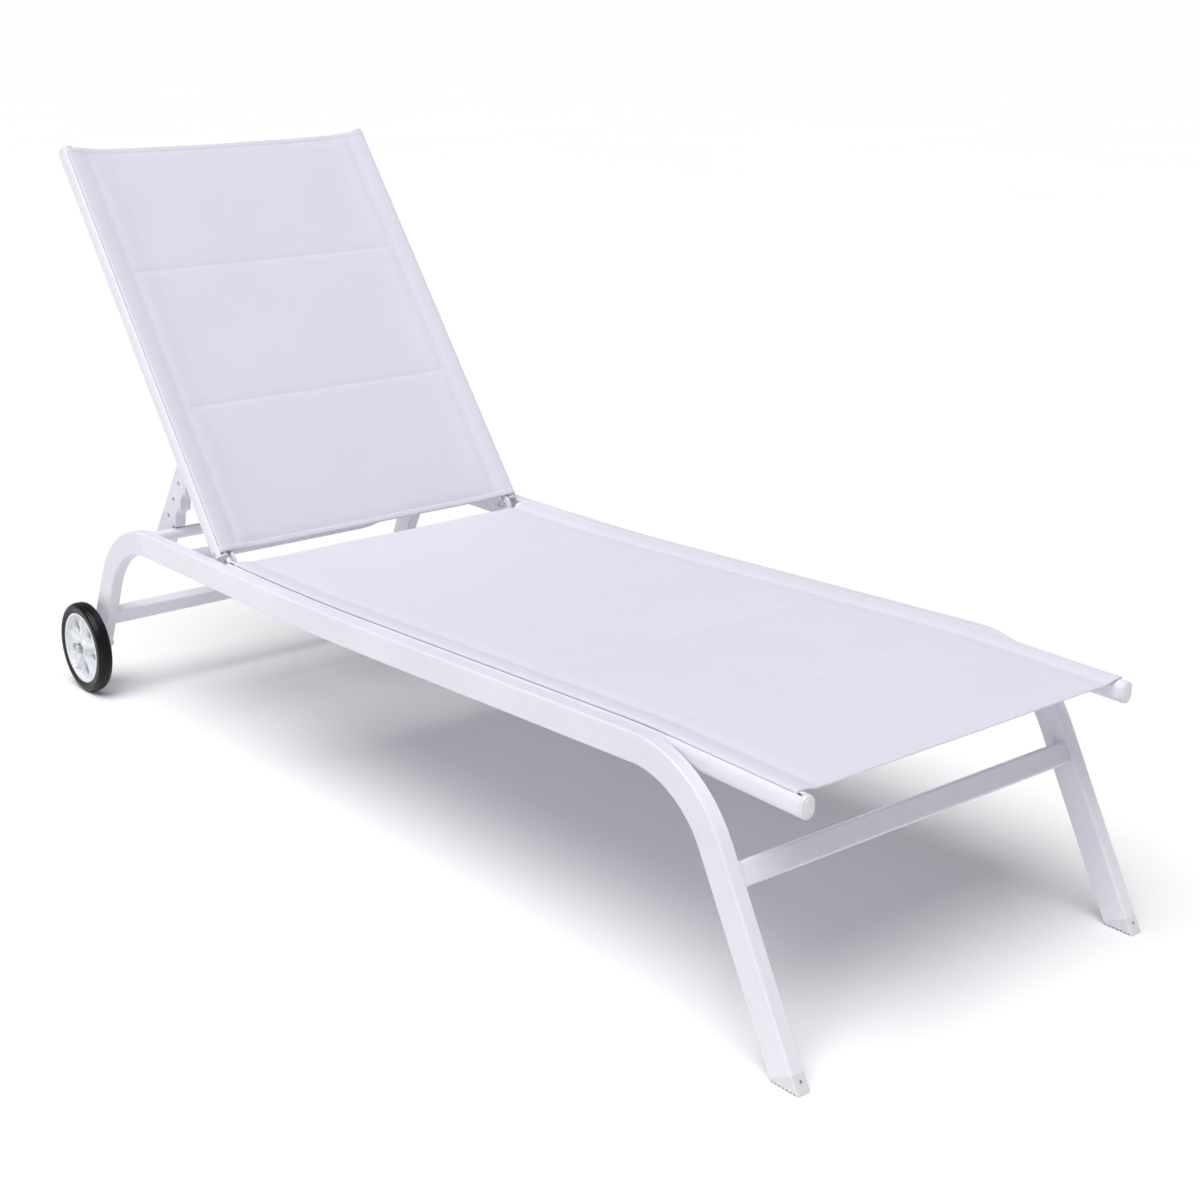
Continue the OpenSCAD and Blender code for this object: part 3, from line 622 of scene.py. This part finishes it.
def bead(name, loop, radius, body, seed, normal=(0, 1, 0)):
    """Weld bead: a rippled cord of metal that follows a closed loop, normal to the loop's plane."""
    loop = np.asarray(loop, float)
    seg = np.linalg.norm(np.roll(loop, -1, 0) - loop, axis=1)
    cum = np.concatenate([[0], np.cumsum(seg)])
    count = int(cum[-1] / BEAD_STEP)
    at = np.linspace(0, cum[-1], count, endpoint=False)
    closed = np.concatenate([loop, loop[:1]])
    pts = np.stack([np.interp(at, cum, closed[:, k]) for k in range(3)], -1)
    tan = np.roll(pts, -1, 0) - np.roll(pts, 1, 0)
    tan /= np.linalg.norm(tan, axis=1)[:, None]
    nrm = np.array(normal, float)
    out = np.cross(tan, nrm)
    phase = np.random.default_rng(seed).uniform(0, 6)
    ripple = 1 + 0.10 * np.sin(at / RIPPLE * 2 * math.pi) + 0.10 * np.sin(at / SWELL * 2 * math.pi + phase)
    k = BEAD_SIDES
    verts, faces = [], []
    for j in range(k):
        a = 2 * math.pi * j / k
        verts.append(pts + (radius * ripple)[:, None] * (math.cos(a) * out + math.sin(a) * nrm))
    v = np.stack(verts, 1).reshape(-1, 3)
    for i in range(count):
        for j in range(k):
            a, b = i * k + j, i * k + (j + 1) % k
            c, d = ((i + 1) % count) * k + (j + 1) % k, ((i + 1) % count) * k + j
            faces.append((a, b, c, d))
    finish_piece(new_mesh(name, v, faces, MATS["white_powder_coat"]), body, "white_powder_coat")


def bar_end_loop(section, bar, lean, sy):
    """World loop where a crossbar with this section and lean meets the side frame on side sy."""
    c, s = math.cos(lean), math.sin(lean)
    at = middle(bar)
    px = at.x + section[:, 0] * c + section[:, 1] * s
    pz = at.z - section[:, 0] * s + section[:, 1] * c
    return np.stack([px, np.full(len(section), sy * (INNER_Y - 0.0003)), pz], -1)


for sy, side in SIDES:
    z_tip = NOSE_Z - (SEAT_REACH - NOSE_X) * math.tan(DROOP)
    tip = (HINGE.x + SEAT_REACH - CAP_T * NOSE_ALONG[0], sy * RAIL_Y, z_tip - CAP_T * NOSE_ALONG[2])
    end_cap("seat_end_cap_" + side, tip, NOSE_ALONG, NOSE_UP, "frame", "seat_cap_" + side)
    s = BACK_LEN - CAP_T
    tip = (HINGE.x + s * BACK_ALONG[0], sy * RAIL_Y, HINGE.z + s * BACK_ALONG[2])
    end_cap("back_end_cap_" + side, tip, BACK_ALONG, BACK_UP, "backrest", "back_cap_" + side)

LEG_BAR = rect_loop(0.0184, 0.0284, 0.0032)     # sections of the bars, 0.2 mm proud
ROUND_BAR = oval_loop(0.0184, 0.0184)
for name, section, bar, lean in (("weld_front_bar", LEG_BAR, "front_crossbar", -FRONT_LEAN),
                                 ("weld_rear_bar", LEG_BAR, "rear_crossbar", REAR_LEAN),
                                 ("weld_catch_bar", ROUND_BAR, "catch_bar", 0.0)):
    for sy, side in SIDES:
        bead(name + "_" + side, bar_end_loop(section, bar, lean, sy), 0.0019, "frame", 5 + sy)


def tube_plug(name, centre, out, across, up, w, h, body, reach):
    """Oval plug that closes the end of a cross tube and seats against what it is welded to."""
    centre, out, across, up = (np.array(v, float) for v in (centre, out, across, up))
    loops = []
    for grow, at in ((-0.0022, -0.0080), (-0.0022, -0.0002), (0.0006, 0.0), (0.0014, 0.0008),
                     (0.0014, reach), (0.0, reach + 0.0008)):
        lp = oval_loop(w + 2 * grow, h + 2 * grow)
        loops.append(centre + at * out + lp[:, :1] * across + lp[:, 1:] * up)
    finish_piece(stacked(name, loops, MATS["white_powder_coat"]), body, "white_powder_coat")


SADDLE_Y = 0.2588        # where a saddle starts: 0.2 mm short of the backrest rail
COLLAR_Y = 0.2735        # where a collar starts: it reaches the side frame
for sy, side in SIDES:
    # cross tube behind the backrest, its long way up along the backrest
    at = middle("back_spreader")
    at.y = sy * SADDLE_Y
    tube_plug("back_tube_saddle_" + side, at, (0, sy, 0), BACK_UP, BACK_ALONG, 0.014, 0.022,
              "backrest", reach=0.0035)
    # cross tube under the seat
    at = middle("seat_spreader")
    at.y = sy * COLLAR_Y
    tube_plug("seat_tube_collar_" + side, at, (0, sy, 0), (1, 0, 0), (0, 0, 1), 0.0166, 0.0206,
              "frame", reach=0.0056)


STAY_TURN = math.radians(124.0)     # from +X down to the line of the stay
STRUT_END = 0.2262                  # lower end of a strut, down from the stay's pivot
STRUT_Y = 0.231
STAY_BAR_IN = 0.030                 # the stay bar's centre, from the line of the stay toward the notches
STAY_BAR_R = 0.0107                 # middle of the weld bead round that bar


def stay_point(x, y, z):
    """World point from the stay's own lengths: down from its pivot, across, toward its notches."""
    at = JOINT_AT["stay_pivot"]
    c, s = math.cos(STAY_TURN), math.sin(STAY_TURN)
    return (at.x + x * c + z * s, y, at.z - x * s + z * c)


for sy, side in SIDES:
    ring = [stay_point(STRUT_END, sy * STRUT_Y + STAY_BAR_R * math.cos(a),
                       STAY_BAR_IN + STAY_BAR_R * math.sin(a))
            for a in np.linspace(0, 2 * math.pi, 40, endpoint=False)]
    axis = np.array(stay_point(1, 0, 0)) - np.array(stay_point(0, 0, 0))
    bead("weld_stay_bar_" + side, ring, 0.0016, "stay", 17 + sy, axis)


def bracket_outlines():
    """Curved hinge arm over a foot strip, in x and z from the hinge: outer outline and the opening."""
    cx, cz, r, half = 0.004, -0.017, 0.0175, 0.0048      # the arm's centre, radius and half width
    arc = [math.radians(a) for a in range(205, -26, -7)]
    outer = [(cx + (r + half) * math.cos(a), cz + (r + half) * math.sin(a)) for a in arc]
    foot = [(0.030, -0.0205), (0.060, -0.0190), (0.0640, -0.0215), (0.0640, -0.0270),
            (0.061, -0.0300), (-0.017, -0.0300)]
    inner = [(cx + (r - half) * math.cos(a), cz + (r - half) * math.sin(a)) for a in arc[4:-4]]
    return outer + foot, inner


def hinge_bracket(name, body, node):
    """The bracket as a plate with rounded edges, standing where its CAD node stands."""
    cu = bpy.data.curves.new(name + "_outline", "CURVE")
    cu.dimensions = "2D"
    cu.fill_mode = "BOTH"
    cu.extrude = 0.0014
    cu.bevel_depth = 0.0006
    cu.bevel_resolution = 2
    for pts in bracket_outlines():
        sp = cu.splines.new("POLY")
        sp.points.add(len(pts) - 1)
        for p, (x, z) in zip(sp.points, pts):
            p.co = (x, z, 0, 1)
        sp.use_cyclic_u = True
    trial = bpy.data.objects.new(name + "_trial", cu)
    SCENE.collection.objects.link(trial)
    dg = bpy.context.evaluated_depsgraph_get()
    me = bpy.data.meshes.new_from_object(trial.evaluated_get(dg))
    bpy.data.objects.remove(trial)
    me.transform(Matrix(((1, 0, 0, HINGE.x), (0, 0, 1, middle(node).y), (0, 1, 0, HINGE.z), (0, 0, 0, 1))))
    me.flip_normals()
    me.materials.clear()
    me.materials.append(MATS["white_powder_coat"])
    o = bpy.data.objects.new(name, me)
    SCENE.collection.objects.link(o)
    finish_piece(o, body, "white_powder_coat", node)


for _, side in SIDES:
    hinge_bracket("hinge_bracket_" + side, "frame", "hinge_plate_" + side)


# ---------------------------------------------------------------- wheels
SECTORS = 5
SECTOR_HALF = math.radians(36)
FIRST_SECTOR = math.radians(54)
BORE_R = 0.0052          # hole for the axle
HUB_R = 0.0155
RIB_FROM = 0.012         # radius where the ribs start to get thinner and lower
RIM_FROM = 0.0530        # inner and outer radius of the rim
RIM_R = 0.0595
FACE = 0.0110            # half thickness of the hub and rim, of a rib by the hub, and of the web
RIB = 0.0088
WEB = 0.0030
FILLET = 0.0016          # width of the slope from a rib or the rim to the web
WINDOW_AT = 0.0400       # radius of the middle of a window, and the window's own radius
WINDOW_R = 0.0108


def blend(z, to, k):
    """Goes from z to another height, smoothly, as k goes from 0 to 1."""
    k = np.clip(k, 0, 1)
    return z + (to - z) * k * k * (3 - 2 * k)


def wheel_height(r, t):
    """Half thickness of the wheel at radius r and angle t from the middle of a window."""
    web = WEB + 0.0030 * np.clip((0.024 - r) / 0.010, 0, 1)
    off = np.abs(SECTOR_HALF - np.abs(t)) * r
    half_rib = 0.0046 - 0.0022 * np.clip((r - RIB_FROM) / 0.042, 0, 1)
    rib = RIB - 0.0016 * np.clip((r - RIB_FROM) / 0.04, 0, 1)
    z = blend(web, rib, (half_rib + FILLET - off) / FILLET)
    z = blend(z, FACE, (r - RIM_FROM) / FILLET)
    z = z - 0.0016 * np.clip((r - 0.0578) / 0.0017, 0, 1) ** 2      # rounded outer corner
    return blend(z, FACE, (HUB_R - r) / 0.0018)


def wheel_disc(name, body, node, centre):
    """Five ribbed sectors, each a skin between its outline and a teardrop window, on both faces."""
    k_arc, k_side, rings = 28, 30, 14
    a = SECTOR_HALF
    rr = np.linspace(BORE_R, RIM_R, k_side)
    th = np.linspace(a, -a, k_arc)
    outline = [(r, -a) for r in rr[:-1]] + [(RIM_R, t) for t in th[::-1][:-1]]
    outline += [(r, a) for r in rr[::-1][:-1]] + [(BORE_R, t) for t in th[:-1]]
    outline = np.array(outline)
    n = len(outline)
    ox, oy = outline[:, 0] * np.cos(outline[:, 1]), outline[:, 0] * np.sin(outline[:, 1])
    ang = np.arctan2(oy, ox - WINDOW_AT)
    # teardrop: round toward the rim, drawn out to a point toward the hub
    wr = WINDOW_R / np.sqrt(np.cos(ang) ** 2 + (np.sin(ang) * 1.12) ** 2)
    wr = wr + 0.0085 * np.clip(-np.cos(ang), 0, 1) ** 5
    wx, wy = WINDOW_AT + wr * np.cos(ang), wr * np.sin(ang)
    ease = np.linspace(0, 1, rings) ** 1.25
    X = wx[None] + (ox - wx)[None] * ease[:, None]
    Y = wy[None] + (oy - wy)[None] * ease[:, None]
    Z = wheel_height(np.hypot(X, Y), np.arctan2(Y, X))
    # a low lip round the window
    Z = Z + 0.0009 * np.exp(-(ease[:, None] * np.hypot(ox - wx, oy - wy)[None] / 0.0016) ** 2)
    verts, faces = [], []
    on_rim = np.isclose(outline[:, 0], RIM_R)
    on_hub = np.isclose(outline[:, 0], BORE_R)
    for i in range(SECTORS):
        turn = 2 * SECTOR_HALF * i + FIRST_SECTOR
        c, s = math.cos(turn), math.sin(turn)
        gx, gy = X * c - Y * s, X * s + Y * c
        for face in (1, -1):
            start = sum(len(v) for v in verts)
            verts.append(np.stack([gx, face * Z, gy], -1).reshape(-1, 3))
            for r in range(rings - 1):
                for j in range(n):
                    q = (start + r * n + j, start + r * n + (j + 1) % n,
                         start + (r + 1) * n + (j + 1) % n, start + (r + 1) * n + j)
                    faces.append(q if face < 0 else q[::-1])
        s0, s1 = start - rings * n, start
        for j in range(n):
            k = (j + 1) % n
            faces.append((s0 + j, s0 + k, s1 + k, s1 + j))
            last = (rings - 1) * n
            if (on_rim[j] and on_rim[k]) or (on_hub[j] and on_hub[k]):
                faces.append((s0 + last + k, s0 + last + j, s1 + last + j, s1 + last + k))
    o = new_mesh(name, np.concatenate(verts), faces, MATS["wheel_plastic"])
    bm = bmesh.new()
    bm.from_mesh(o.data)
    bmesh.ops.remove_doubles(bm, verts=bm.verts, dist=0.00002)      # joins the sectors
    bmesh.ops.recalc_face_normals(bm, faces=bm.faces)
    bm.to_mesh(o.data)
    bm.free()
    o.data.transform(Matrix.Translation(centre))
    o.data.update()
    finish_piece(o, body, "wheel_plastic", node)


for _, side in SIDES:
    centre = JOINT_AT["wheel_" + side + "_spin"]
    wheel_disc("spoked_wheel_" + side, "wheel_" + side, "wheel_disc_" + side, centre)


# ---------------------------------------------------------------- softer edges on the hard parts
# bevel width of the CAD nodes whose names start so; the other nodes shown are rounded in the CAD
BEVELS = {"stay_lug": 0.001, "notched_strut": 0.0012, "foot_left": 0.0007, "foot_right": 0.0007,
          "hub_nut": 0.0006, "hinge_pin": 0.0008, "rail_screws": 0.0009, "stay_pin": 0.0008,
          "axle": 0.0008, "foot_screws": 0.0004, "seat_end_plugs": 0.0005, "leg_plugs": 0.0005}
for name, o in NODES.items():
    width = next((w for k, w in BEVELS.items() if name.startswith(k)), 0.0)
    if width:
        b = o.modifiers.new("soft_edge", "BEVEL")
        b.width = width
        b.segments = 2
        b.limit_method = "ANGLE"
        b.angle_limit = math.radians(40)


# ---------------------------------------------------------------- camera, light, floor
CAMERA_AT = Vector((2.15889, -1.6399, 1.1446))
AZIMUTH = math.radians(50.94)
ELEVATION = math.radians(16.76)
ROLL = math.radians(-0.147)
LENS_MM = 59.57
SHIFT = (0.00989, -0.0257)
SUN_WAY = Vector((-0.12, 0.40, -1.0))       # the way the light travels
SUN_SPREAD = math.radians(48)
SUN_POWER = 2.72
SKY_LOW = (0.97, 0.97, 0.98, 1)             # bright at the horizon, darker above it
SKY_HIGH = (0.30, 0.302, 0.315, 1)
SKY_FROM, SKY_TO = 0.02, 0.07
FLOOR_HALF = 220.0
FLOOR_DROP = 0.0005


def add_camera():
    """Camera fitted to the photograph."""
    cam = bpy.data.cameras.new("camera")
    cam.lens = LENS_MM
    cam.sensor_width = 36
    cam.shift_x, cam.shift_y = SHIFT
    cam.clip_end = 100
    o = bpy.data.objects.new("camera", cam)
    level = math.cos(ELEVATION)
    back_dir = Vector((math.sin(AZIMUTH) * level, -math.cos(AZIMUTH) * level, math.sin(ELEVATION)))
    right = (-back_dir).cross(Vector((0, 0, 1))).normalized()
    up = back_dir.cross(right)
    rolled_right = right * math.cos(ROLL) + up * math.sin(ROLL)
    rolled_up = up * math.cos(ROLL) - right * math.sin(ROLL)
    m = Matrix((rolled_right, rolled_up, back_dir)).transposed().to_4x4()
    m.translation = CAMERA_AT
    o.matrix_world = m
    SCENE.collection.objects.link(o)
    SCENE.camera = o


def studio():
    """One wide soft sun, a sky that is bright at the horizon only, and a large white floor."""
    w = bpy.data.worlds.new("studio")
    w.use_nodes = True
    nodes, links = w.node_tree.nodes, w.node_tree.links
    way = nodes.new("ShaderNodeTexCoord")
    xyz = nodes.new("ShaderNodeSeparateXYZ")
    sky = nodes.new("ShaderNodeValToRGB")
    links.new(way.outputs["Generated"], xyz.inputs[0])
    links.new(xyz.outputs[2], sky.inputs["Fac"])
    links.new(sky.outputs["Color"], nodes["Background"].inputs["Color"])
    for stop, at, color in zip(sky.color_ramp.elements, (SKY_FROM, SKY_TO), (SKY_LOW, SKY_HIGH)):
        stop.position = at
        stop.color = color
    nodes["Background"].inputs["Strength"].default_value = 1.0
    SCENE.world = w
    sun = bpy.data.lights.new("soft_key", "SUN")
    sun.energy = SUN_POWER
    sun.angle = SUN_SPREAD
    sun.color = (1.0, 0.995, 0.985)
    o = bpy.data.objects.new("soft_key", sun)
    o.rotation_euler = SUN_WAY.to_track_quat("-Z", "Y").to_euler()
    SCENE.collection.objects.link(o)
    m = Mat("floor_white", (0.955, 0.955, 0.955), 0.8)
    m.color(m.ramp(m.noise(0.8, 3), [(0.3, (0.95, 0.95, 0.95)), (0.7, (0.96, 0.96, 0.96))]))
    r = FLOOR_HALF
    corners = [(-r, -r, 0), (r, -r, 0), (r, r, 0), (-r, r, 0)]
    floor = new_mesh("floor", corners, [(0, 1, 2, 3)], m.m, smooth=False)
    floor.location.z = -FLOOR_DROP
    SCENE.view_settings.view_transform = "Standard"
    SCENE.view_settings.look = "None"
    SCENE.view_settings.exposure = 0.0


add_camera()
studio()
